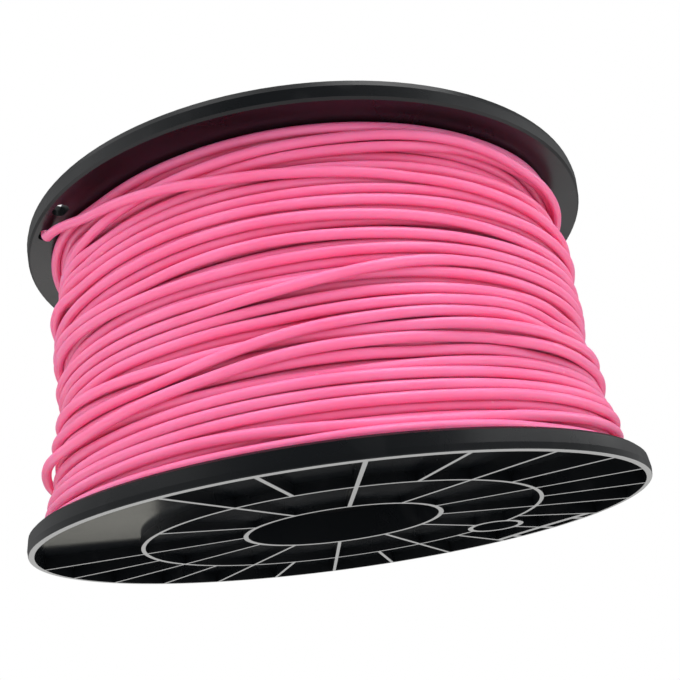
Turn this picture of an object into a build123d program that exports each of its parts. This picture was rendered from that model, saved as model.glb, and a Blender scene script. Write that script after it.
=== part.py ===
from build123d import *
import os
from math import cos, radians, sin, tan

# A 1 kg spool of 3 mm printing filament, lying on its lower flange.
# Z is the spool's axis, z = 0 is the rim plane of the lower flange, and +X points at the two
# slots in the lower flange that hold the end of the filament. Sizes are millimetres.

# ---- driving dimensions ----
FLANGE_RADIUS = 100.0
SPOOL_HEIGHT = 106.0

RIM_HEIGHT = 6.0          # height of the wall round each flange
RIM_WALL = 2.0
RIM_DRAFT = 0.3           # how far the rim wall leans in, away from its parting line
RIM_EDGE_FILLET = 0.5
PARTING_HEIGHT = 1.9      # parting line, above the rim plane
INNER_BEVEL = 0.7         # bevel at the rim, on the side of the filament

WEB_THICKNESS = 2.0
RIB_WIDTH = 1.25
RIB_STEP = 15.0           # degrees from rib to rib outside the middle ring
HUB_RIB_STEP = 30.0       # degrees from rib to rib inside the middle ring
HUB_RECESS = 2.4          # the ribs' edges sink by this much from the rim to the bore
MIDDLE_RING_WIDTH = 1.3
MIDDLE_RING_OFFSET = 0.7  # the middle ring stands this far outside the barrel it backs
LABEL_BAY_ANGLE = 60.0    # smooth bay without ribs, opposite the slots

BORE_RADIUS = 32.0
COLLAR_WALL = 1.6         # wall of the ring round the bore
COLLAR_DEPTH = 7.0        # how far the ring reaches into the core's hub tube

SOCKET_OFFSET = 2.3       # centre of the socket, outside the middle ring
SOCKET_RADIUS = 8.5       # blind round socket in the outer face
SOCKET_WALL = 1.9

TIE_WALL_SETBACK = 6.5    # straight wall behind the slots, from its middle to the rim wall
TIE_WALL_THICKNESS = 3.0
TIE_CROSS_WALL = 2.4
TIE_CROSS_ANGLE = 10.0    # the outer cross walls stand this far round, to each side
SLOT_ANGLE = 5.0          # each slot is this far round, to each side
SLOT_SETBACK = 2.4        # middle of each slot, inside the rim wall
SLOT_LENGTH = 7.0
SLOT_WIDTH = 4.0

BARREL_RADIUS = 65.0      # the filament is wound on this
BARREL_WALL = 2.4
HUB_TUBE_WALL = 2.0
SPIGOT_WALL = 2.0         # ring on each flange that centres the barrel
SPIGOT_DEPTH = 6.0
CORE_WEB_COUNT = 6
CORE_WEB_THICKNESS = 1.8
FIT_CLEARANCE = 0.2       # radial, where a flange plugs into the core
END_CLEARANCE = 0.5       # between the core's webs and the flanges' rings

FILAMENT_DIAMETER = 3.0
WINDING_DEPTH_LOWER = 5.0  # from the flange's edge down to the wound turns
WINDING_DEPTH_UPPER = 8.8
WINDING_CLEARANCE = 0.2   # radial, between the turns and the barrel
STRAND_CLEARANCE = 0.3    # between the loose last turn and the turns below it

FREE_END_START = 279.0    # degrees round, where the last turn comes up out of the others
FREE_END_STEP = 11.0      # degrees from point to point of its route
FREE_END_BEND = 5.0       # bend radius where it turns up into the slot
FREE_END_REACH = 2.6      # how far the end stands past the web of the upper flange

START_HOLE_RADIUS = 2.1   # hole in the barrel for the inner end of the filament
START_HOLE_HEIGHT = 4.0   # above the lower flange
START_TAIL_DEPTH = 11.0
START_TAIL_HOOK = 9.0
START_TAIL_BEND = 5.0

# Route of the loose last turn: share of its way to the slot, and depth below the upper flange.
FREE_END_DEPTHS = ((0.0, 20.5), (0.4, 16.0), (0.74, 11.0), (1.0, 4.0))

# ---- worked out ----
WEB_UNDERSIDE = RIM_HEIGHT - WEB_THICKNESS
RIB_ROOT = WEB_UNDERSIDE + WEB_THICKNESS / 2   # ribs run this deep, into the web
COLLAR_RADIUS = BORE_RADIUS + COLLAR_WALL
RIM_INNER_RADIUS = FLANGE_RADIUS - RIM_WALL
MIDDLE_RING_RADIUS = BARREL_RADIUS + MIDDLE_RING_OFFSET
SOCKET_CENTRE_RADIUS = MIDDLE_RING_RADIUS + SOCKET_OFFSET
TIE_WALL_DISTANCE = RIM_INNER_RADIUS - TIE_WALL_SETBACK
SLOT_RADIUS = RIM_INNER_RADIUS - SLOT_SETBACK
WINDING_RADIUS_LOWER = FLANGE_RADIUS - WINDING_DEPTH_LOWER
WINDING_RADIUS_UPPER = FLANGE_RADIUS - WINDING_DEPTH_UPPER
BARREL_BORE = BARREL_RADIUS - BARREL_WALL
SPIGOT_RADIUS = BARREL_BORE - FIT_CLEARANCE
HUB_TUBE_BORE = COLLAR_RADIUS + FIT_CLEARANCE
HUB_TUBE_RADIUS = HUB_TUBE_BORE + HUB_TUBE_WALL
WINDING_BOTTOM = RIM_HEIGHT
WINDING_TOP = SPOOL_HEIGHT - RIM_HEIGHT
WINDING_WIDTH = WINDING_TOP - WINDING_BOTTOM
FILAMENT_RADIUS = FILAMENT_DIAMETER / 2
UPPER_SLOT_ANGLE = 180.0 - SLOT_ANGLE

os.makedirs("parts", exist_ok=True)


def band(inner, outer, bottom, top):
    """A rectangle of a revolved section, from one radius to another."""
    with Locations(((inner + outer) / 2, (bottom + top) / 2)):
        Rectangle(outer - inner, top - bottom)


def polar(radius, angle, height):
    """A point at a radius and an angle in degrees about the spool's axis."""
    return (radius * cos(radians(angle)), radius * sin(radians(angle)), height)


def rim_section():
    """The drafted rim wall: a sharp parting line, a bevel inside and a rounded outer edge."""
    outer = FLANGE_RADIUS
    Polygon(
        (RIM_INNER_RADIUS, 0),
        (outer - RIM_DRAFT, 0),
        (outer, PARTING_HEIGHT),
        (outer - RIM_DRAFT, RIM_HEIGHT - INNER_BEVEL),
        (outer - RIM_DRAFT - INNER_BEVEL, RIM_HEIGHT),
        (RIM_INNER_RADIUS, RIM_HEIGHT),
        align=None,
    )


def flange_rings():
    """Everything round in the flange: web, rim, rings, collar and spigot."""
    with BuildSketch(Plane.XZ) as section:
        rim_section()
        band(BORE_RADIUS, FLANGE_RADIUS - RIM_WALL, WEB_UNDERSIDE, RIM_HEIGHT)
        band(BORE_RADIUS, COLLAR_RADIUS, 0, RIM_HEIGHT + COLLAR_DEPTH)
        band(
            MIDDLE_RING_RADIUS - MIDDLE_RING_WIDTH / 2,
            MIDDLE_RING_RADIUS + MIDDLE_RING_WIDTH / 2,
            0,
            RIM_HEIGHT,
        )
        band(SPIGOT_RADIUS - SPIGOT_WALL, SPIGOT_RADIUS, WEB_UNDERSIDE, RIM_HEIGHT + SPIGOT_DEPTH)
    revolve(section.sketch, axis=Axis.Z)


def rib_angles(step, bare_half_angle):
    """Angles of the ribs at this step, leaving out those inside the label bay."""
    count = round(360 / step)
    angles = [i * step for i in range(count)]
    return [angle for angle in angles if abs(angle - 180) >= bare_half_angle]


def ribs(angles, inner, outer):
    """Thin radial ribs on the outer face of the web."""
    overlap = RIB_WIDTH / 2
    for angle in angles:
        with BuildSketch(Plane.XY.rotated((0, 0, angle))) as rib:
            with Locations(((inner + outer) / 2, 0)):
                Rectangle(outer - inner + overlap, RIB_WIDTH)
        extrude(rib.sketch, amount=RIB_ROOT)


def tie_block():
    """The straight wall and the cross walls that frame the slots for the filament's end."""
    half = TIE_WALL_DISTANCE * tan(radians(RIB_STEP))
    with BuildSketch() as wall:
        with Locations((TIE_WALL_DISTANCE, 0)):
            Rectangle(TIE_WALL_THICKNESS, 2 * half)
    extrude(wall.sketch, amount=RIB_ROOT)
    for angle in (-TIE_CROSS_ANGLE, 0, TIE_CROSS_ANGLE):
        reach = RIM_INNER_RADIUS - TIE_WALL_DISTANCE + RIM_WALL / 2
        with BuildSketch(Plane.XY.rotated((0, 0, angle))) as cross_wall:
            with Locations((TIE_WALL_DISTANCE + reach / 2, 0)):
                Rectangle(reach, TIE_CROSS_WALL)
        extrude(cross_wall.sketch, amount=RIB_ROOT)


def socket():
    """The blind round socket that interrupts the middle ring."""
    with BuildSketch() as boss:
        with Locations((SOCKET_CENTRE_RADIUS, 0)):
            Circle(SOCKET_RADIUS + SOCKET_WALL)
    extrude(boss.sketch, amount=RIB_ROOT)
    with BuildSketch() as hollow:
        with Locations((SOCKET_CENTRE_RADIUS, 0)):
            Circle(SOCKET_RADIUS)
    extrude(hollow.sketch, amount=WEB_UNDERSIDE, mode=Mode.SUBTRACT)


def trim_ribs_to_cone():
    """Cut the ribs and rings back, so that their edges sink evenly towards the bore."""
    with BuildSketch(Plane.XZ) as cone:
        Polygon(
            (0, -HUB_RECESS),
            (RIM_INNER_RADIUS, -HUB_RECESS),
            (RIM_INNER_RADIUS, 0),
            (BORE_RADIUS, HUB_RECESS),
            (0, HUB_RECESS),
            align=None,
        )
    revolve(cone.sketch, axis=Axis.Z, mode=Mode.SUBTRACT)


def end_slots():
    """Two slots through the web, each side of the middle cross wall."""
    for angle in (-SLOT_ANGLE, SLOT_ANGLE):
        with BuildSketch(Plane.XY.rotated((0, 0, angle)).offset(WEB_UNDERSIDE)) as slot:
            with Locations((SLOT_RADIUS, 0)):
                SlotOverall(SLOT_LENGTH, SLOT_WIDTH, rotation=90)
        extrude(slot.sketch, amount=WEB_THICKNESS, mode=Mode.SUBTRACT)


# ---- flanges: one moulding, used twice ----
with BuildPart() as flange_lower:
    flange_rings()
    ribs(rib_angles(HUB_RIB_STEP, 0), COLLAR_RADIUS, MIDDLE_RING_RADIUS)
    ribs(rib_angles(RIB_STEP, LABEL_BAY_ANGLE / 2), MIDDLE_RING_RADIUS, RIM_INNER_RADIUS)
    tie_block()
    socket()
    trim_ribs_to_cone()
    end_slots()
    rim_edges = flange_lower.edges().filter_by(GeomType.CIRCLE).group_by(Axis.Z)[0]
    fillet(rim_edges.sort_by(SortBy.RADIUS)[-1], RIM_EDGE_FILLET)

flange_lower.part.label = "flange_lower"
export_step(flange_lower.part, "parts/flange_lower.step")

with BuildPart() as flange_upper:
    with Locations(Location((0, 0, SPOOL_HEIGHT), (0, 180, 0))):
        add(flange_lower.part)

flange_upper.part.label = "flange_upper"
export_step(flange_upper.part, "parts/flange_upper.step")


# ---- core: barrel, hub tube and the webs between them ----
with BuildPart() as winding_core:
    with BuildSketch(Plane.XZ):
        band(BARREL_BORE, BARREL_RADIUS, WINDING_BOTTOM, WINDING_TOP)
        band(HUB_TUBE_BORE, HUB_TUBE_RADIUS, WINDING_BOTTOM, WINDING_TOP)
    revolve(axis=Axis.Z)
    web_bottom = WINDING_BOTTOM + SPIGOT_DEPTH + END_CLEARANCE
    web_top = WINDING_TOP - SPIGOT_DEPTH - END_CLEARANCE
    web_inner = HUB_TUBE_RADIUS - HUB_TUBE_WALL / 2
    web_outer = BARREL_RADIUS - BARREL_WALL / 2
    for web in range(CORE_WEB_COUNT):
        turned = Plane.XY.rotated((0, 0, (web + 0.5) * 360 / CORE_WEB_COUNT))
        with BuildSketch(turned.offset(web_bottom)):
            with Locations(((web_inner + web_outer) / 2, 0)):
                Rectangle(web_outer - web_inner, CORE_WEB_THICKNESS)
        extrude(amount=web_top - web_bottom)
    with BuildSketch(Plane.YZ.offset(BARREL_BORE - BARREL_WALL)):
        with Locations((0, WINDING_BOTTOM + SPIGOT_DEPTH + START_HOLE_HEIGHT)):
            Circle(START_HOLE_RADIUS)
    extrude(amount=3 * BARREL_WALL, mode=Mode.SUBTRACT)

winding_core.part.label = "winding_core"
export_step(winding_core.part, "parts/winding_core.step")


# ---- filament: the wound turns as one ring, and the two ends of the strand ----
with BuildPart() as filament_winding:
    inner = BARREL_RADIUS + WINDING_CLEARANCE
    with BuildSketch(Plane.XZ):
        with BuildLine():
            Polyline(
                (inner, WINDING_BOTTOM),
                (WINDING_RADIUS_LOWER, WINDING_BOTTOM),
                (WINDING_RADIUS_UPPER, WINDING_TOP),
                (inner, WINDING_TOP),
                close=True,
            )
        make_face()
    revolve(axis=Axis.Z)

filament_winding.part.label = "filament_winding"
export_step(filament_winding.part, "parts/filament_winding.step")


def winding_radius(height):
    """Radius of the wound turns at a height above the rim plane."""
    share = (height - WINDING_BOTTOM) / WINDING_WIDTH
    return WINDING_RADIUS_LOWER + share * (WINDING_RADIUS_UPPER - WINDING_RADIUS_LOWER)


def tangent_arcs(points, largest):
    """A bend radius for each corner of a route, as large as its two runs allow."""
    chosen = []
    for before, corner, after in zip(points, points[1:], points[2:]):
        run_in = Vector(corner) - Vector(before)
        run_out = Vector(after) - Vector(corner)
        half_turn = radians(run_in.get_angle(run_out)) / 2
        shorter = min(run_in.length, run_out.length)
        chosen.append(min(0.45 * shorter / tan(half_turn), largest))
    return chosen


def round_strand(path_points, bends):
    """Sweep the round filament along straight runs joined by arcs."""
    with BuildLine() as path:
        FilletPolyline(*path_points, radius=bends)
    with BuildSketch(Plane(path.line @ 0, z_dir=path.line % 0)) as section:
        Circle(FILAMENT_RADIUS)
    sweep(section.sketch, path=path.line)
    return path.wires()[0].length


def free_end_height(share):
    """Height of the last turn, straight from one of its stated depths to the next."""
    for (low, low_depth), (high, high_depth) in zip(FREE_END_DEPTHS, FREE_END_DEPTHS[1:]):
        if share <= high:
            depth = low_depth + (share - low) / (high - low) * (high_depth - low_depth)
            return WINDING_TOP - depth


def free_end_route():
    """Points of the last turn: round the winding, then up through the slot."""
    lift = FILAMENT_RADIUS + STRAND_CLEARANCE
    sweep_angle = FREE_END_START - UPPER_SLOT_ANGLE
    count = round(sweep_angle / FREE_END_STEP)
    step = sweep_angle / count
    points = []
    for i in range(count):
        height = free_end_height(i / count)
        ring = (winding_radius(height) + lift) / cos(radians(step / 2))
        share = (i / count) ** 4
        ring += share * max(SLOT_RADIUS - ring, 0)
        points.append(polar(ring, FREE_END_START - i * step, height))
    points.append(polar(SLOT_RADIUS, UPPER_SLOT_ANGLE, WINDING_TOP - FILAMENT_RADIUS))
    end_height = WINDING_TOP + WEB_THICKNESS + FREE_END_REACH
    points.append(polar(SLOT_RADIUS, UPPER_SLOT_ANGLE, end_height))
    return points


with BuildPart() as filament_free_end:
    route = free_end_route()
    bends = tangent_arcs(route, WINDING_RADIUS_LOWER)
    bends[-1] = min(bends[-1], FREE_END_BEND)
    free_length = round_strand(route, bends)

filament_free_end.part.label = "filament_free_end"
export_step(filament_free_end.part, "parts/filament_free_end.step")
section = 3.14159 * FILAMENT_RADIUS**2
print("free end length", round(free_length, 1), "volume ratio",
      round(filament_free_end.part.volume / (section * free_length), 4))
print("free end bends", [round(bend, 1) for bend in bends])

with BuildPart() as filament_start_end:
    start_height = WINDING_BOTTOM + SPIGOT_DEPTH + START_HOLE_HEIGHT
    tail_tip = BARREL_RADIUS - BARREL_WALL - START_TAIL_DEPTH
    tail = [
        (BARREL_RADIUS, 0, start_height),
        (tail_tip, 0, start_height),
        (tail_tip, START_TAIL_HOOK, start_height),
    ]
    start_length = round_strand(tail, [START_TAIL_BEND])

filament_start_end.part.label = "filament_start_end"
export_step(filament_start_end.part, "parts/filament_start_end.step")
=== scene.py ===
# %% [markdown]
# # A full spool of 3 mm printing filament
# The hard parts of this spool are two ribbed black flanges and a hidden core. They come from
# CAD and keep their exact shape. What gives the spool its look is made here: the finish of
# the moulded plastic, and some 290 turns of pink strand. The outer 95 are laid one over the
# other as a real winder lays them, and the rest, which nothing can see, are one plain ring.

# %% Load the CAD model
from math import cos, pi, radians, sin

import bpy
import numpy as np
from mathutils import Matrix, Vector


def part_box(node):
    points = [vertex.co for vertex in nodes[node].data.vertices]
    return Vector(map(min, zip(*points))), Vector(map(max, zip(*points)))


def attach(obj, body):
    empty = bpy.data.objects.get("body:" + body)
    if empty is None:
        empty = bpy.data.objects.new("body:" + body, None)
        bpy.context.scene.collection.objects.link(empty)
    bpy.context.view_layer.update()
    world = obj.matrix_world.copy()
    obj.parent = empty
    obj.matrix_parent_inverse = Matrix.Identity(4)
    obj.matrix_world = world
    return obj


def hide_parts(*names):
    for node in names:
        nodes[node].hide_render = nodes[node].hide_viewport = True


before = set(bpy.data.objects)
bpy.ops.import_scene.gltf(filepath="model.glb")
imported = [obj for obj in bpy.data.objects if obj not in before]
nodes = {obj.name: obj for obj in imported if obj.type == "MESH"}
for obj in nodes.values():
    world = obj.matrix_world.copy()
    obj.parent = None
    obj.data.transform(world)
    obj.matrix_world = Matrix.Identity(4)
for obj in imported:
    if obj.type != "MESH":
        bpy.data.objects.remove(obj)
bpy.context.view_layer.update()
MM = 0.001
print("nodes", sorted(nodes))

# %% [markdown]
# ## Sizes that everything else hangs on
# The CAD boxes give the flanges' radius and the winding's floor and roof. The guide's heights
# and the slot's radius, further down, are written for a spool of this size.

# %% Read the spool's main sizes from the frame
_, lower_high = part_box("flange_lower")
_, upper_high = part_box("flange_upper")
winding_low, winding_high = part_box("filament_winding")
_, core_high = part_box("winding_core")
_, end_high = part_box("filament_free_end")

FLANGE_RADIUS = lower_high[0]
SPOOL_HEIGHT = upper_high[2]
FLOOR_OF_WINDING = winding_low[2]
ROOF_OF_WINDING = winding_high[2]
BARREL_RADIUS = core_high[0]
WINDING_RADIUS_LOWER = winding_high[0]
STRAND_RADIUS = 1.5 * MM
STRAND_DIAMETER = 2 * STRAND_RADIUS
print("flange radius mm", round(FLANGE_RADIUS / MM, 2), "height mm", round(SPOOL_HEIGHT / MM, 2))
print("winding from", round(FLOOR_OF_WINDING / MM, 2), "to", round(ROOF_OF_WINDING / MM, 2))

# %% [markdown]
# ## Camera
# The spool is seen from a little below its lower flange, tipped to one side. The camera looks
# along a heading and a pitch, then rolls about its own line of sight, which is easier to
# steer by hand than Euler angles.

# %% Place the camera
CAMERA_BEARING = radians(236)        # where the camera stands, round the spool's axis
CAMERA_RADIUS = 298.06 * MM
CAMERA_HEIGHT = -47.21 * MM
CAMERA_YAW = radians(1.39)           # to the right of the axis
CAMERA_PITCH = radians(21.25)
CAMERA_ROLL = radians(-7.95)
CAMERA_LENS = 46.79


def look_axes(heading, pitch, roll):
    """Right, up and forward of a camera with this heading, pitch and roll."""
    forward = Vector((cos(heading) * cos(pitch), sin(heading) * cos(pitch), sin(pitch)))
    right = forward.cross(Vector((0, 0, 1))).normalized()
    up = right.cross(forward)
    turned_right = cos(roll) * right + sin(roll) * up
    turned_up = -sin(roll) * right + cos(roll) * up
    return turned_right, turned_up, forward


camera_data = bpy.data.cameras.new("camera")
camera_data.lens = CAMERA_LENS
camera = bpy.data.objects.new("camera", camera_data)
bpy.context.collection.objects.link(camera)
right, up, forward = look_axes(CAMERA_BEARING + pi - CAMERA_YAW, CAMERA_PITCH, CAMERA_ROLL)
camera_place = Matrix((right, up, -forward)).transposed().to_4x4()
camera_place.translation = (
    CAMERA_RADIUS * cos(CAMERA_BEARING),
    CAMERA_RADIUS * sin(CAMERA_BEARING),
    CAMERA_HEIGHT,
)
camera.matrix_world = camera_place
bpy.context.scene.camera = camera
print("camera at mm", [round(v / MM, 1) for v in camera_place.translation])

# %% [markdown]
# ## Shader helpers
# Each material is a small graph. These helpers keep its recipe short: they add a node with
# its values, start a material, build and place a group, and slide between two values.

# %% Small helpers for node graphs


def add_node(tree, kind, **values):
    """Add a node. Values that aren't its properties are set on the inputs of that name."""
    node = tree.nodes.new(kind)
    for name, value in values.items():
        if hasattr(node, name):
            setattr(node, name, value)
        else:
            node.inputs[name.replace("_", " ")].default_value = value
    return node


def new_material(name):
    """An empty material with its Principled shader already wired to the output."""
    material = bpy.data.materials.new(name)
    material.use_nodes = True
    tree = material.node_tree
    tree.nodes.clear()
    shader = tree.nodes.new("ShaderNodeBsdfPrincipled")
    output = tree.nodes.new("ShaderNodeOutputMaterial")
    tree.links.new(shader.outputs["BSDF"], output.inputs["Surface"])
    return material, tree, shader


def new_group(name, inputs, outputs):
    """A shader node group with named number inputs and the given outputs."""
    group = bpy.data.node_groups.new(name, "ShaderNodeTree")
    for label, default in inputs.items():
        socket = group.interface.new_socket(label, in_out="INPUT", socket_type="NodeSocketFloat")
        socket.default_value = default
    for label, kind in outputs.items():
        group.interface.new_socket(label, in_out="OUTPUT", socket_type=kind)
    ends = group.nodes.new("NodeGroupInput"), group.nodes.new("NodeGroupOutput")
    return group, ends[0], ends[1]


def place_group(tree, group, **values):
    """Use a group in a material, with this material's own values."""
    node = tree.nodes.new("ShaderNodeGroup")
    node.node_tree = group
    for label, value in values.items():
        node.inputs[label.replace("_", " ")].default_value = value
    return node


def math_node(tree, operation, first, second=None):
    """A Math node whose inputs are sockets or numbers."""
    node = tree.nodes.new("ShaderNodeMath")
    node.operation = operation
    for socket, value in zip(node.inputs, (first, second)):
        if value is None:
            continue
        if isinstance(value, (int, float)):
            socket.default_value = value
        else:
            tree.links.new(value, socket)
    return node.outputs[0]


def mix_numbers(tree, factor, low, high):
    """Slide from one number or socket to another."""
    node = add_node(tree, "ShaderNodeMix", data_type="FLOAT")
    tree.links.new(factor, node.inputs[0])
    for socket, value in zip((node.inputs[2], node.inputs[3]), (low, high)):
        if isinstance(value, (int, float)):
            socket.default_value = value
        else:
            tree.links.new(value, socket)
    return node.outputs[0]


def mix_colours(tree, factor, low, high):
    """Slide from one colour or socket to another."""
    node = add_node(tree, "ShaderNodeMix", data_type="RGBA")
    tree.links.new(factor, node.inputs[0])
    for socket, value in zip((node.inputs[6], node.inputs[7]), (low, high)):
        if isinstance(value, tuple):
            socket.default_value = value
        else:
            tree.links.new(value, socket)
    return node.outputs[2]


print("helpers ready")

# %% [markdown]
# ## Moulded grain
# Injection-moulded plastic is never quite even: its gloss drifts over a few centimetres, it
# has a very fine skin texture, and handling leaves a few dull smudges. Both black plastics
# share this effect, so it is one group, with the scale and strength left to each material.

# %% Build the moulded grain group
grain, grain_in, grain_out = new_group(
    "moulded_grain",
    {"Skin Scale": 900.0, "Gloss": 0.3, "Gloss Drift": 0.1},
    {"Height": "NodeSocketFloat", "Roughness": "NodeSocketFloat", "Smudge": "NodeSocketFloat"},
)
place = add_node(grain, "ShaderNodeTexCoord")
skin = add_node(grain, "ShaderNodeTexNoise", Detail=3.0, Roughness=0.6)
drift = add_node(grain, "ShaderNodeTexNoise", Scale=26.0, Detail=4.0, Roughness=0.55)
smudge = add_node(grain, "ShaderNodeTexNoise", Scale=70.0, Detail=6.0, Distortion=0.8)
grain.links.new(place.outputs["Object"], skin.inputs["Vector"])
grain.links.new(place.outputs["Object"], drift.inputs["Vector"])
grain.links.new(place.outputs["Object"], smudge.inputs["Vector"])
grain.links.new(grain_in.outputs["Skin Scale"], skin.inputs["Scale"])
centred = math_node(grain, "SUBTRACT", drift.outputs["Fac"], 0.5)
swing = math_node(grain, "MULTIPLY", centred, grain_in.outputs["Gloss Drift"])
smudged = add_node(grain, "ShaderNodeMapRange", From_Min=0.56, From_Max=0.74)
grain.links.new(smudge.outputs["Fac"], smudged.inputs["Value"])
dulled = math_node(grain, "MULTIPLY", smudged.outputs[0], grain_in.outputs["Gloss Drift"])
rough = math_node(grain, "ADD", math_node(grain, "ADD", grain_in.outputs["Gloss"], swing), dulled)
grain.links.new(skin.outputs["Fac"], grain_out.inputs["Height"])
grain.links.new(rough, grain_out.inputs["Roughness"])
grain.links.new(smudged.outputs[0], grain_out.inputs["Smudge"])
print("group", grain.name, "nodes", len(grain.nodes))

# %% [markdown]
# ## Black flange plastic
# One moulding has three finishes. The web between the ribs is polished, the rim wall is satin,
# and the narrow edges of ribs and rings are duller and painted pale grey, a painted highlight
# for the light they catch. Which is which follows from height and from the way the face
# looks: an edge faces straight out and lies nearer to the rim plane than the web does. The
# inner faces, towards the filament, are satin too, with painted shade and a faint painted pink
# reflection.

# %% Flange material
EDGE_DEPTH = 3.2 * MM                # rib edges lie nearer to the rim plane than this
SQUARE_ENOUGH = 0.7                  # a face this square to the axis counts as facing along it
EDGE_ROUGHNESS = 0.5
MIDDLE_HEIGHT = SPOOL_HEIGHT / 2
SATIN_BLACK = (0.005, 0.006, 0.0072, 1)
SMUDGED_BLACK = (0.009, 0.01, 0.0115, 1)
# painted shade: the inner faces are darker and a little redder, as shade and the pink winding's
# reflection
INNER_SHADE_BLACK = (0.005, 0.0045, 0.0055, 1)
# painted highlight: rib and ring edges are pale grey for the light they catch
EDGE_HIGHLIGHT_GREY = (0.42, 0.42, 0.415, 1)


def outward_depth(tree):
    """Depth below the nearer rim plane, and how squarely the surface faces out of it."""
    place = add_node(tree, "ShaderNodeTexCoord")
    here = add_node(tree, "ShaderNodeSeparateXYZ")
    facing = add_node(tree, "ShaderNodeSeparateXYZ")
    tree.links.new(place.outputs["Object"], here.inputs[0])
    tree.links.new(place.outputs["Normal"], facing.inputs[0])
    from_middle = math_node(tree, "SUBTRACT", here.outputs["Z"], MIDDLE_HEIGHT)
    depth = math_node(tree, "SUBTRACT", MIDDLE_HEIGHT, math_node(tree, "ABSOLUTE", from_middle))
    side = math_node(tree, "SIGN", from_middle)
    squareness = math_node(tree, "MULTIPLY", facing.outputs["Z"], side)
    return depth, squareness


def flange_material():
    """Polished webs, satin rim and dull rib edges painted pale as a highlight, in one material."""
    material, tree, shader = new_material("flange_black_plastic")
    depth, squareness = outward_depth(tree)
    shallow = math_node(tree, "LESS_THAN", depth, EDGE_DEPTH)
    faces_out = math_node(tree, "GREATER_THAN", squareness, SQUARE_ENOUGH)
    edge = math_node(tree, "MULTIPLY", shallow, faces_out)
    web = math_node(tree, "MULTIPLY", math_node(tree, "SUBTRACT", 1.0, shallow), faces_out)
    satin = place_group(tree, grain, Skin_Scale=1400.0, Gloss=0.28, Gloss_Drift=0.1)
    polish = place_group(tree, grain, Skin_Scale=500.0, Gloss=0.15, Gloss_Drift=0.04)
    body = mix_colours(tree, satin.outputs["Smudge"], SATIN_BLACK, SMUDGED_BLACK)
    faces_in = math_node(tree, "LESS_THAN", squareness, -SQUARE_ENOUGH)
    # painted shade and a faint painted pink reflection on the faces towards the filament
    body = mix_colours(tree, faces_in, body, INNER_SHADE_BLACK)
    # painted highlight: the rib and ring edges take the pale grey
    colour = mix_colours(tree, edge, body, EDGE_HIGHLIGHT_GREY)
    rough = mix_numbers(tree, web, satin.outputs["Roughness"], polish.outputs["Roughness"])
    rough = mix_numbers(tree, edge, rough, EDGE_ROUGHNESS)
    bump = add_node(tree, "ShaderNodeBump", Strength=0.12, Distance=0.05 * MM)
    tree.links.new(satin.outputs["Height"], bump.inputs["Height"])
    tree.links.new(bump.outputs["Normal"], shader.inputs["Normal"])
    tree.links.new(colour, shader.inputs["Base Color"])
    tree.links.new(rough, shader.inputs["Roughness"])
    shader.inputs["IOR"].default_value = 1.5
    shader.inputs["Specular IOR Level"].default_value = 0.3
    return material


def give_material(thing, material):
    """Put one material on every slot of an object."""
    if not thing.data.materials:
        thing.data.materials.append(material)
    for index in range(len(thing.data.materials)):
        thing.data.materials[index] = material


flange_black = flange_material()
for name in ("flange_lower", "flange_upper"):
    give_material(nodes[name], flange_black)
print("flange material nodes", len(flange_black.node_tree.nodes))

# %% [markdown]
# ## Core plastic
# The core is a cheaper moulding, plain black with a dull skin and faint smudges. It shows only
# through the bore.

# %% Core material
CORE_BLACK = (0.014, 0.014, 0.016, 1)
CORE_SMUDGED = (0.022, 0.022, 0.023, 1)


def core_material():
    """Dull black plastic for the barrel and the hub tube."""
    material, tree, shader = new_material("core_black_plastic")
    skin = place_group(tree, grain, Skin_Scale=700.0, Gloss=0.42, Gloss_Drift=0.16)
    colour = mix_colours(tree, skin.outputs["Smudge"], CORE_BLACK, CORE_SMUDGED)
    bump = add_node(tree, "ShaderNodeBump", Strength=0.2, Distance=0.06 * MM)
    tree.links.new(skin.outputs["Height"], bump.inputs["Height"])
    tree.links.new(bump.outputs["Normal"], shader.inputs["Normal"])
    tree.links.new(colour, shader.inputs["Base Color"])
    tree.links.new(skin.outputs["Roughness"], shader.inputs["Roughness"])
    return material


core_black = core_material()
give_material(nodes["winding_core"], core_black)
print("core material nodes", len(core_black.node_tree.nodes))

# %% [markdown]
# ## Pink filament
# Extruded plastic this thick is a little translucent, so light that enters a strand comes out
# beside it, and the gaps between strands stay a dusky red instead of going black. The skin has
# fine drawn lines along the strand and a rare pale nick. The strand's own UV map runs along
# its length in metres and round it from 0 to 1, which is what those lines follow.

# %% Filament material
PINK = (0.97, 0.185, 0.385, 1)
PALER_PINK = (0.985, 0.215, 0.425, 1)
NICK_PINK = (0.93, 0.42, 0.55, 1)
NICK_STRENGTH = 0.5
DRAWN_LINES = (18.0, 22.0, 1.0)      # how fine they are per metre of strand, and round it
LIGHT_REACH = 2.0 * MM               # how far red light travels inside the strand


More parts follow.
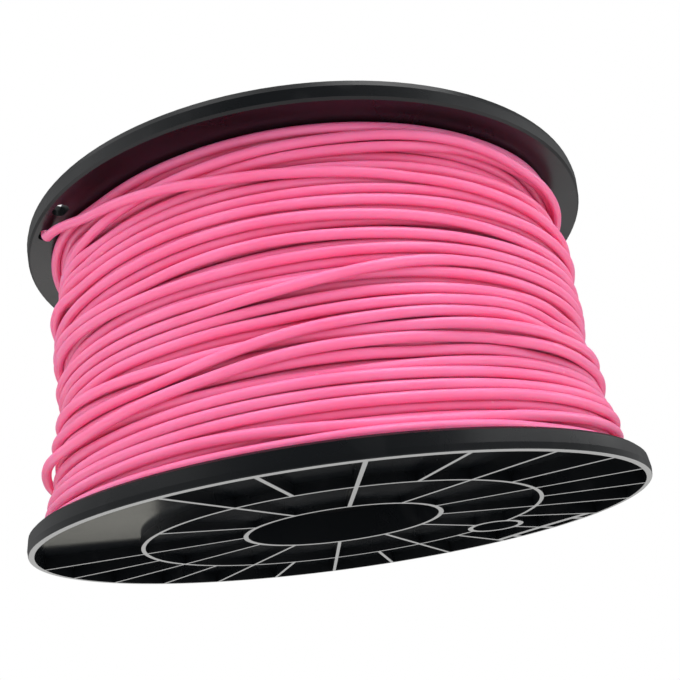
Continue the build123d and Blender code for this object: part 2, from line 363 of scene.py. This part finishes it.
def filament_material():
    """Soft-gloss translucent pink, with drawn lines, slow drifts of tone and pale nicks."""
    material, tree, shader = new_material("filament_pink_plastic")
    along = add_node(tree, "ShaderNodeUVMap", uv_map="strand")
    stretched = add_node(tree, "ShaderNodeMapping")
    stretched.inputs["Scale"].default_value = DRAWN_LINES
    tree.links.new(along.outputs["UV"], stretched.inputs["Vector"])
    lines = add_node(tree, "ShaderNodeTexNoise", Scale=1.0, Detail=3.0, Roughness=0.7)
    tree.links.new(stretched.outputs[0], lines.inputs["Vector"])
    place = add_node(tree, "ShaderNodeTexCoord")
    drift = add_node(tree, "ShaderNodeTexNoise", Scale=55.0, Detail=3.0)
    tree.links.new(place.outputs["Object"], drift.inputs["Vector"])
    nick_noise = add_node(tree, "ShaderNodeTexVoronoi", Scale=95.0)
    tree.links.new(place.outputs["Object"], nick_noise.inputs["Vector"])
    nick = add_node(tree, "ShaderNodeMapRange", From_Min=0.05, From_Max=0.035)
    tree.links.new(nick_noise.outputs["Distance"], nick.inputs["Value"])
    tone = add_node(tree, "ShaderNodeMapRange", From_Min=0.35, From_Max=0.65)
    tree.links.new(drift.outputs["Fac"], tone.inputs["Value"])
    base = mix_colours(tree, tone.outputs[0], PINK, PALER_PINK)
    faint = math_node(tree, "MULTIPLY", nick.outputs[0], NICK_STRENGTH)
    colour = mix_colours(tree, faint, base, NICK_PINK)
    rough = add_node(tree, "ShaderNodeMapRange", To_Min=0.28, To_Max=0.38)
    tree.links.new(lines.outputs["Fac"], rough.inputs["Value"])
    bump = add_node(tree, "ShaderNodeBump", Strength=0.1, Distance=0.05 * MM)
    tree.links.new(lines.outputs["Fac"], bump.inputs["Height"])
    tree.links.new(bump.outputs["Normal"], shader.inputs["Normal"])
    tree.links.new(colour, shader.inputs["Base Color"])
    tree.links.new(rough.outputs[0], shader.inputs["Roughness"])
    shader.inputs["IOR"].default_value = 1.5
    shader.inputs["Subsurface Weight"].default_value = 1.0
    shader.inputs["Subsurface Radius"].default_value = (1.0, 0.3, 0.4)
    shader.inputs["Subsurface Scale"].default_value = LIGHT_REACH
    return material


filament_pink = filament_material()
print("filament material nodes", len(filament_pink.node_tree.nodes))

# %% [markdown]
# ## How a winder lays filament
# A spool turns, and a guide moves to and fro beside it and lays the strand in passes from
# flange to flange. On a hurried winding the guide wanders, so turns bunch up, leave gaps and
# cross the turns below at a low angle. The path is built the same way: first the guide's
# height for every point along the strand, then each stretch is dropped on what lies there
# already, slides sideways into the nearest groove, and bridges the hollows it is too stiff
# to follow.

# %% The guide's path
SAMPLES = 240                        # points in each turn
LAST_ANGLE = radians(175)            # the strand ends here, in a slot of the upper flange
# Each stop is turns before the end and height in mm: two full passes, a stay at the top, a
# third full pass, a quick climb, a short pass, and the free end's own route to the slot.
GUIDE_STOPS = (
    (95.0, 98.2), (65.0, 7.8), (37.40, 98.2), (36.30, 98.2),
    (36.12, 94.0), (11.95, 7.8), (11.45, 30.0), (1.0, 72.5),
    (0.61, 74.0), (0.42, 76.5), (0.286, 79.5), (0.17, 84.0), (0.072, 89.0), (0.0, 98.5),
)
# Each slip is turns before the end, jump in mm, and the turns that it takes. They come in
# pairs, out and back, and make the places where a strand crosses its neighbours.
SLIPS = (
    (35.42, 4.4, 0.12), (35.16, -4.4, 0.12), (13.15, 4.0, 0.12), (12.80, -4.0, 0.20),
    (11.12, -8.0, 0.22), (10.80, 8.0, 0.25), (9.15, -5.0, 0.12), (8.80, 5.0, 0.25),
    (7.30, -2.6, 0.16), (6.90, 2.6, 0.20), (5.20, -6.0, 0.12), (4.85, 6.0, 0.25),
    (3.10, -4.5, 0.10), (2.80, 4.5, 0.20),
)
WANDER_SHORT = 1.2 * MM              # how far the guide strays within a turn, and over a few
WANDER_LONG = 0.6 * MM
KNOT_SHORT = 0.45                    # turns from one stray to the next, for each of the two
KNOT_LONG = 1.4
CALM_TURNS = 0.5                     # the last half turn doesn't stray at all
TURN_ROUND = 5                       # samples over which the guide changes its speed
SHARP_END = 10                       # samples at the very end that aren't smoothed
EDGE_GAP = 0.25 * MM                 # the outermost turns keep this far from the flanges
LOWEST = FLOOR_OF_WINDING + STRAND_RADIUS + EDGE_GAP
HIGHEST = ROOF_OF_WINDING - STRAND_RADIUS - EDGE_GAP
TURNS = int(GUIDE_STOPS[0][0])
COUNT = TURNS * SAMPLES
TURNS_LEFT = np.arange(COUNT, 0, -1) / SAMPLES
rng = np.random.default_rng(11)


def bell(width):
    """A smoothing kernel: a bell curve that reaches three widths to each side."""
    reach = int(3 * width)
    steps = np.arange(-reach, reach + 1)
    kernel = np.exp(-0.5 * (steps / width) ** 2)
    return kernel / kernel.sum()


def smoothed(values, width):
    """Smooth a row of values, holding its two ends."""
    kernel = bell(width)
    reach = len(kernel) // 2
    padded = np.concatenate([np.full(reach, values[0]), values, np.full(reach, values[-1])])
    return np.convolve(padded, kernel, mode="valid")


def wander(turns_per_knot, size):
    """A smooth random drift of the guide."""
    spacing = turns_per_knot * SAMPLES
    knots = rng.normal(size=int(COUNT / spacing) + 3)
    drift = np.interp(np.arange(COUNT), np.arange(len(knots)) * spacing, knots)
    return smoothed(drift, spacing / 4) * size


def guide_path():
    """Height of the guide for every sample, pass after pass."""
    turns_left, height = np.array(GUIDE_STOPS[::-1]).T
    path = np.interp(TURNS_LEFT, turns_left, height * MM)
    for slip, jump, turns_taken in SLIPS:
        share = np.clip((slip - TURNS_LEFT) / turns_taken + 0.5, 0, 1)
        path += jump * MM * share**2 * (3 - 2 * share)
    path[:-SHARP_END] = smoothed(path, TURN_ROUND)[:-SHARP_END]
    strength = np.linspace(0.5, 1.0, COUNT) * np.clip(TURNS_LEFT - CALM_TURNS, 0, 1)
    path += strength * (wander(KNOT_SHORT, WANDER_SHORT) + wander(KNOT_LONG, WANDER_LONG))
    return np.clip(path, LOWEST, HIGHEST)


guide = guide_path()
MEAN_RADIUS = 90 * MM                # of the turns laid here, for the printed length only
print("turns", TURNS, "strand laid here, m", round(TURNS * 2 * pi * MEAN_RADIUS, 1))

# %% [markdown]
# The strand is dropped turn by turn. At every angle round the spool, the turns already laid
# are circles in a slice, and the new one rests on whichever would hold it highest. Its slope
# there says which way it slides. A stiff strand can't dip into a short hollow either, so its
# radius is the highest of all its neighbours' radii less a parabola, like a ruler laid over
# bumps. Afterwards one loop low on the spool is let out a little, as on a hurried winding,
# and the last stretch swings out to the slot.

# %% Drop each stretch on the turns below it
UNDER_PROFILE = (                    # height and radius in mm of what these turns lie on
    (6.0, 86.8), (22.0, 84.6), (32.0, 80.5), (40.0, 78.0), (50.0, 79.6),
    (62.0, 80.9), (86.0, 80.4), (94.0, 80.4), (100.0, 84.6),
)
CLEAR_DIAMETER = STRAND_DIAMETER + 0.02 * MM
STRETCH = SAMPLES // 4
LOOK_AHEAD = SAMPLES // 8
SLIDES = 80
SLIDE_STEP = 0.1 * MM
STIFF = 4.5                          # samples over which the strand evens out its bends
BRIDGE = 1.6                         # 1 is a taut string, less is a stiffer strand
STEEPEST = 1.6                       # the strand slides no faster than on this slope
NOWHERE = 9.0                        # a height that stands for no turn at all
HELD_TURNS = 0.35                    # the last stretch stays where the guide puts it
FREEING_TURNS = 0.2                  # over which that hold lets go
EVENING = 2.0                        # samples over which the laid radius is evened out
EVENING_LIMIT = 0.1 * MM             # and how far that may sink it
LOOSE_TURN = 10.98                   # middle of the loose loop, in turns before the end
LOOSE_SPAN = 0.06                    # width of its bell curve, in turns
LOOSE_BULGE = 1.2 * MM               # how far it stands off at most
SLOT_RADIUS = 95.6 * MM              # where the strand goes through the upper flange
LEAVING_TURNS = 0.065                # over which the end swings out to the slot
OUTER_TURNS = 37                     # the last turns, which are mostly what is seen


def under_radius(height):
    """Radius of the turns beneath those that are laid here."""
    level, radius = np.array(UNDER_PROFILE).T * MM
    return np.interp(height, level, radius)


def rest_on(height, below_z, below_r):
    """Radius at which the strand rests at each sample, and its slope sideways."""
    radius = under_radius(height) + STRAND_RADIUS
    if not len(below_z):
        return radius, np.zeros_like(height)
    apart = height - below_z
    reach = CLEAR_DIAMETER**2 - apart**2
    rise = np.sqrt(np.maximum(reach, 1e-12))
    candidate = np.where(reach > 0, below_r + rise, -1.0)
    top = candidate.argmax(axis=0)
    column = np.arange(len(height))
    highest = candidate[top, column]
    slope = -apart[top, column] / rise[top, column]
    held = highest > radius
    return np.where(held, highest, radius), np.where(held, np.clip(slope, -STEEPEST, STEEPEST), 0.0)


def bridged(radius):
    """Lift the strand over hollows that it is too stiff to follow."""
    angle = 2 * pi / SAMPLES
    lifted = radius.copy()
    for step in range(1, LOOK_AHEAD):
        drop = 0.5 * BRIDGE * WINDING_RADIUS_LOWER * (step * angle) ** 2
        lifted[step:] = np.maximum(lifted[step:], radius[:-step] - drop)
        lifted[:-step] = np.maximum(lifted[:-step], radius[step:] - drop)
    return lifted


def lay_strand(path):
    """Height and radius of every sample after the strand has been dropped and has slid."""
    laid_z = np.zeros(len(path))
    laid_r = np.zeros(len(path))
    offset = np.zeros(len(path) + LOOK_AHEAD)
    padded = np.concatenate([path, np.full(LOOK_AHEAD, path[-1])])
    loosened = np.clip((TURNS_LEFT - HELD_TURNS) / FREEING_TURNS, 0, 1)
    freedom = np.concatenate([loosened, np.zeros(LOOK_AHEAD)])
    for start in range(0, len(path), STRETCH):
        back = min(start, LOOK_AHEAD)
        window = np.arange(start, min(start + STRETCH + LOOK_AHEAD, len(padded)))
        earlier = window[None, :] - SAMPLES * np.arange(1, start // SAMPLES + 2)[:, None]
        known = earlier >= 0
        below_z = np.where(known, laid_z[np.maximum(earlier, 0)], NOWHERE)
        below_r = laid_r[np.maximum(earlier, 0)]
        shift = offset[window].copy()
        for _ in range(SLIDES):
            height = np.clip(padded[window] + shift, LOWEST, HIGHEST)
            _, slope = rest_on(height, below_z, below_r)
            shift -= SLIDE_STEP * slope * freedom[window]
            joined = np.concatenate([offset[start - back:start], shift])
            shift = smoothed(joined, STIFF)[back:]
        offset[window] = shift
        height = np.clip(padded[window] + shift, LOWEST, HIGHEST)
        radius, _ = rest_on(height, below_z, below_r)
        joined = bridged(np.concatenate([laid_r[start - back:start], radius]))
        keep = min(STRETCH, len(path) - start)
        laid_z[start:start + keep] = height[:keep]
        laid_r[start:start + keep] = joined[back:back + keep]
    return laid_z, laid_r


strand_z, strand_r = lay_strand(guide)
strand_r = np.maximum(smoothed(strand_r, EVENING), strand_r - EVENING_LIMIT)
strand_r += LOOSE_BULGE * np.exp(-0.5 * ((TURNS_LEFT - LOOSE_TURN) / LOOSE_SPAN) ** 2)
leaving = np.clip(1 - TURNS_LEFT / LEAVING_TURNS, 0, 1)
strand_r += leaving**2 * (3 - 2 * leaving) * (SLOT_RADIUS - strand_r)
outer = strand_r[-OUTER_TURNS * SAMPLES:] + STRAND_RADIUS
print("outer turns' radius mm", round(outer.min() / MM, 2), "to", round(outer.max() / MM, 2))

# %% [markdown]
# ## From a path to a tube
# A tube is rings of points joined by four-sided faces. Each ring stands square to the strand,
# so its two axes come from the direction of travel and the direction away from the spool's
# axis. The UV map holds the length travelled and the way round.

# %% Tube maker
SIDES = 12


def round_tube(name, points, outward):
    """A capped tube of filament along the points, with its strand UV map."""
    travel = np.gradient(points, axis=0)
    travel /= np.linalg.norm(travel, axis=1, keepdims=True)
    side = np.cross(travel, outward)
    side /= np.linalg.norm(side, axis=1, keepdims=True)
    away = np.cross(side, travel)
    turn = (2 * pi * np.arange(SIDES) / SIDES)[None, :, None]
    ring = STRAND_RADIUS * (np.cos(turn) * away[:, None, :] + np.sin(turn) * side[:, None, :])
    rings = points[:, None, :] + ring
    count = len(points)
    vertices = rings.reshape(-1, 3)
    ring_start = np.arange(count - 1)[:, None] * SIDES
    corner = np.arange(SIDES)[None, :]
    first = (ring_start + corner).ravel()
    beside = (ring_start + (corner + 1) % SIDES).ravel()
    faces = np.stack([first, beside, beside + SIDES, first + SIDES], axis=1)
    mesh = bpy.data.meshes.new(name)
    caps = [list(range(SIDES))[::-1], list(range((count - 1) * SIDES, count * SIDES))]
    mesh.from_pydata(vertices.tolist(), [], faces.tolist() + caps)
    length = np.concatenate([[0], np.cumsum(np.linalg.norm(np.diff(points, axis=0), axis=1))])
    span = np.repeat(np.arange(count - 1), SIDES)
    way = np.tile(np.arange(SIDES), count - 1)
    corners_u = np.stack([length[span], length[span], length[span + 1], length[span + 1]], axis=1)
    corners_v = np.stack([way, way + 1, way + 1, way], axis=1) / SIDES
    layer = mesh.uv_layers.new(name="strand")
    uv = np.zeros((len(mesh.loops), 2))
    uv[:len(faces) * 4] = np.stack([corners_u.ravel(), corners_v.ravel()], axis=1)
    layer.data.foreach_set("uv", uv.ravel())
    mesh.polygons.foreach_set("use_smooth", [True] * len(faces) + [False] * 2)
    mesh.update()
    tube = bpy.data.objects.new(name, mesh)
    bpy.context.collection.objects.link(tube)
    give_material(tube, filament_pink)
    return tube


def spool_points(radius, angle, height):
    """Points and outward directions from a radius, an angle and a height."""
    points = np.stack([radius * np.cos(angle), radius * np.sin(angle), height], axis=1)
    outward = np.stack([np.cos(angle), np.sin(angle), np.zeros_like(angle)], axis=1)
    return points, outward


print("tube maker ready,", SIDES, "sides")

# %% [markdown]
# ## The turns
# Turns wind clockwise seen from above, and end at the slot. They are made as six tubes of
# about the same number of samples, one after another, so that no one mesh grows too heavy.
# Each tube starts at the sample where the one before it ends, so the strand runs on unbroken.

# %% Build the laid turns
SLOT_BEND = 3.6 * MM                 # bend radius of the strand where it turns up into the slot
BEND_STEPS = 12
BEND_LIFT = 0.3 * MM                 # the bend starts this far above the last laid sample
STRAIGHT_STEPS = 5
TIP_INSET = 0.1 * MM                 # the tip stays this far inside the free end's CAD box
PIECES = 6


def bend_into_slot(height, slope):
    """The strand's last stretch: a bend from its slope to upright, then straight up."""
    lean = np.linspace(np.arctan(slope), pi / 2, BEND_STEPS + 1)[1:]
    climb = height + SLOT_BEND * (np.cos(lean[0]) - np.cos(lean)) + BEND_LIFT
    back = SLOT_BEND * (1 - np.sin(lean))
    straight = np.linspace(climb[-1], end_high[2] - TIP_INSET, STRAIGHT_STEPS + 1)[1:]
    rise = np.concatenate([climb, straight])
    angle = LAST_ANGLE + np.concatenate([back, np.zeros(STRAIGHT_STEPS)]) / SLOT_RADIUS
    return spool_points(np.full(len(rise), SLOT_RADIUS), angle, rise)


angles = LAST_ANGLE + 2 * pi * np.arange(COUNT, 0, -1) / SAMPLES
turns_points, turns_outward = spool_points(strand_r, angles, strand_z)
last_slope = (strand_z[-1] - strand_z[-3]) / (2 * SLOT_RADIUS * 2 * pi / SAMPLES)
bend_points, bend_outward = bend_into_slot(strand_z[-1], last_slope)
print("free end goes up at mm", round(strand_z[-1] / MM, 2), "slope", round(last_slope, 3))
turns_points = np.concatenate([turns_points, bend_points])
turns_outward = np.concatenate([turns_outward, bend_outward])
cuts = np.linspace(0, len(turns_points) - 1, PIECES + 1).astype(int)
turn_pieces = []
for number, (start, stop) in enumerate(zip(cuts, cuts[1:]), start=1):
    piece = round_tube(
        f"filament_turns_{number}", turns_points[start:stop + 1], turns_outward[start:stop + 1]
    )
    turn_pieces.append(piece)
    print(piece.name, "faces", len(piece.data.polygons))

# %% [markdown]
# ## The ring under the turns
# The inner turns, which nothing can see, are one plain ring. It reaches from the barrel out to
# the profile that the laid turns lie on.

# %% Ring under the laid turns
BARREL_GAP = 0.2 * MM
RING_STEPS = 180


def under_ring():
    """A closed ring from the barrel out to the turns that are laid here."""
    inner = BARREL_RADIUS + BARREL_GAP
    section = [(inner, ROOF_OF_WINDING), (inner, FLOOR_OF_WINDING)]
    section += [(radius * MM, height * MM) for height, radius in UNDER_PROFILE]
    vertices = []
    for step in range(RING_STEPS):
        angle = 2 * pi * step / RING_STEPS
        vertices += [(r * cos(angle), r * sin(angle), z) for r, z in section]
    faces = []
    for step in range(RING_STEPS):
        here = step * len(section)
        there = (step + 1) % RING_STEPS * len(section)
        for corner in range(len(section)):
            beside = (corner + 1) % len(section)
            faces.append((here + corner, there + corner, there + beside, here + beside))
    mesh = bpy.data.meshes.new("filament_inner_turns")
    mesh.from_pydata(vertices, [], faces)
    mesh.uv_layers.new(name="strand")
    ring = bpy.data.objects.new("filament_inner_turns", mesh)
    bpy.context.collection.objects.link(ring)
    give_material(ring, filament_pink)
    return ring


inner_turns = under_ring()
print(inner_turns.name, "faces", len(inner_turns.data.polygons))

# %% Fix the filament to the spool
for piece in turn_pieces + [inner_turns]:
    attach(piece, "root")
    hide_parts("filament_winding", "filament_free_end")
give_material(nodes["filament_start_end"], filament_pink)
print("pieces that ride on the spool", len(turn_pieces) + 1)

# %% [markdown]
# ## Floor, daylight and lamps
# The spool stands on a pale floor, but this view looks up from under it. So the floor is
# solid only to an eye above it, and clear from below and to the light that the ribs and
# webs of the underside need. Far out it fades into the white background, so it shows no edge.
#
# The background is plain white to the camera alone, and an even, gentler white lights the
# spool. What its gloss mirrors is a third thing: a dark studio whose walls brighten to both
# sides, over pale ground. Soft lamps stand above and at both sides, and the front fill lights
# the strands without showing in the gloss.

# %% Floor
FLOOR_HALF = 2.0
FLOOR_DROP = -0.3 * MM
FLOOR_GREY = (0.72, 0.72, 0.72, 1)
corners = [(-1, -1), (1, -1), (1, 1), (-1, 1)]
floor_mesh = bpy.data.meshes.new("floor")
floor_mesh.from_pydata(
    [(across * FLOOR_HALF, along * FLOOR_HALF, FLOOR_DROP) for across, along in corners],
    [],
    [(0, 1, 2, 3)],
)
floor = bpy.data.objects.new("floor", floor_mesh)
bpy.context.collection.objects.link(floor)
floor_paint, tree, shader = new_material("floor_pale")
shader.inputs["Base Color"].default_value = FLOOR_GREY
shader.inputs["Roughness"].default_value = 0.6
clear = add_node(tree, "ShaderNodeBsdfTransparent")
which_side = add_node(tree, "ShaderNodeNewGeometry")
seen_by = add_node(tree, "ShaderNodeLightPath")
camera_ray = seen_by.outputs["Is Camera Ray"]
from_above = math_node(tree, "SUBTRACT", camera_ray, which_side.outputs["Backfacing"])
place = add_node(tree, "ShaderNodeTexCoord")
from_spool = add_node(tree, "ShaderNodeVectorMath", operation="LENGTH")
tree.links.new(place.outputs["Object"], from_spool.inputs[0])
far_away = add_node(tree, "ShaderNodeMapRange", From_Min=0.4, From_Max=1.2)
tree.links.new(from_spool.outputs["Value"], far_away.inputs["Value"])
not_from_above = math_node(tree, "LESS_THAN", from_above, 0.5)
see_through = math_node(tree, "MAXIMUM", not_from_above, far_away.outputs[0])
mix = add_node(tree, "ShaderNodeMixShader")
tree.links.new(see_through, mix.inputs[0])
tree.links.new(shader.outputs[0], mix.inputs[1])
tree.links.new(clear.outputs[0], mix.inputs[2])
output = next(node for node in tree.nodes if node.type == "OUTPUT_MATERIAL")
tree.links.new(mix.outputs[0], output.inputs["Surface"])
give_material(floor, floor_paint)
print("floor", 2 * FLOOR_HALF, "m across")

# %% World
WHITE = (1, 1, 1, 1)
BACKGROUND_STRENGTH = 1.0
AMBIENT_STRENGTH = 0.9
WALLS = {"From_Min": 0.35, "From_Max": 0.8, "To_Min": 0.03, "To_Max": 0.4}
GROUND = {"From_Min": -0.28, "From_Max": -0.42, "To_Min": 0.0, "To_Max": 1.1}
world = bpy.data.worlds.new("studio")
bpy.context.scene.world = world
world.use_nodes = True
sky = world.node_tree
sky.nodes.clear()
paths = add_node(sky, "ShaderNodeLightPath")
white = add_node(sky, "ShaderNodeBackground", Color=WHITE, Strength=BACKGROUND_STRENGTH)
ambient = add_node(sky, "ShaderNodeBackground", Color=WHITE, Strength=AMBIENT_STRENGTH)
mirrored = add_node(sky, "ShaderNodeBackground", Color=WHITE)
looking = add_node(sky, "ShaderNodeTexCoord")
sideways = add_node(sky, "ShaderNodeVectorMath", operation="DOT_PRODUCT")
sideways.inputs[1].default_value = (-sin(CAMERA_BEARING), cos(CAMERA_BEARING), 0)
sky.links.new(looking.outputs["Generated"], sideways.inputs[0])
wall = add_node(sky, "ShaderNodeMapRange", **WALLS)
sky.links.new(math_node(sky, "ABSOLUTE", sideways.outputs["Value"]), wall.inputs["Value"])
heading = add_node(sky, "ShaderNodeSeparateXYZ")
sky.links.new(looking.outputs["Generated"], heading.inputs[0])
ground = add_node(sky, "ShaderNodeMapRange", **GROUND)
sky.links.new(heading.outputs["Z"], ground.inputs["Value"])
mirrored_light = math_node(sky, "ADD", wall.outputs[0], ground.outputs[0])
sky.links.new(mirrored_light, mirrored.inputs["Strength"])
lit_or_mirrored = add_node(sky, "ShaderNodeMixShader")
seen_or_not = add_node(sky, "ShaderNodeMixShader")
sky_out = add_node(sky, "ShaderNodeOutputWorld")
sky.links.new(paths.outputs["Is Glossy Ray"], lit_or_mirrored.inputs[0])
sky.links.new(ambient.outputs[0], lit_or_mirrored.inputs[1])
sky.links.new(mirrored.outputs[0], lit_or_mirrored.inputs[2])
sky.links.new(paths.outputs["Is Camera Ray"], seen_or_not.inputs[0])
sky.links.new(lit_or_mirrored.outputs[0], seen_or_not.inputs[1])
sky.links.new(white.outputs[0], seen_or_not.inputs[2])
sky.links.new(seen_or_not.outputs[0], sky_out.inputs["Surface"])
print("world nodes", len(sky.nodes))

# %% Lamps
# Each lamp: bearing in degrees, distance and height in m; width and length in m; watts;
# whether the gloss mirrors it.
STUDIO_LAMPS = {
    "overhead_box": (0, 0.33, 0.95, 1.0, 0.6, 2.6, True),
    "front_fill": (0, 0.95, 0.3, 1.0, 0.7, 0.8, False),
    "left_box": (-60, 0.6, 0.8, 0.9, 0.7, 1.4, True),
    "right_box": (46, 0.56, 0.84, 0.6, 0.5, 2.6, True),
    "left_strip": (-80, 0.85, 0.42, 1.2, 0.17, 0.4, True),
    "right_strip": (80, 0.85, 0.38, 1.2, 0.17, 1.1, True),
}
UNDER_PLACE = (0.097, 0.557, -0.131)     # a small warm lamp for the smooth bay underneath
UNDER_TARGET = (-0.08, 0, 0.004)
UNDER_SIZE = (0.12, 0.065)
UNDER_POWER = 0.017
WARM_WHITE = (1.0, 0.98, 0.88)


def soft_lamp(name, place, target, size, power, colour=(1, 1, 1), in_gloss=True):
    """A rectangular softbox aimed at a point, which shows in reflections or doesn't."""
    data = bpy.data.lights.new(name, "AREA")
    data.shape = "RECTANGLE"
    data.size, data.size_y = size
    data.energy = power
    data.color = colour
    lamp = bpy.data.objects.new(name, data)
    lamp.location = place
    aim = Vector(target) - Vector(place)
    lamp.rotation_euler = aim.to_track_quat("-Z", "Y").to_euler()
    lamp.visible_camera = False
    lamp.visible_glossy = in_gloss
    bpy.context.collection.objects.link(lamp)
    return lamp


def around_spool(bearing, distance, height):
    """A place at a bearing round the spool, counted from the camera's own bearing."""
    angle = CAMERA_BEARING + radians(bearing)
    return (distance * cos(angle), distance * sin(angle), height)


centre = (0, 0, MIDDLE_HEIGHT)
for name, (bearing, distance, height, width, length, power, in_gloss) in STUDIO_LAMPS.items():
    place = around_spool(bearing, distance, height)
    soft_lamp(name, place, centre, (width, length), power, in_gloss=in_gloss)
soft_lamp("under_box", UNDER_PLACE, UNDER_TARGET, UNDER_SIZE, UNDER_POWER, WARM_WHITE)
print("lamps", len(bpy.data.lights))

# %% Colour management
bpy.context.scene.view_settings.view_transform = "Standard"
print("view transform", bpy.context.scene.view_settings.view_transform)
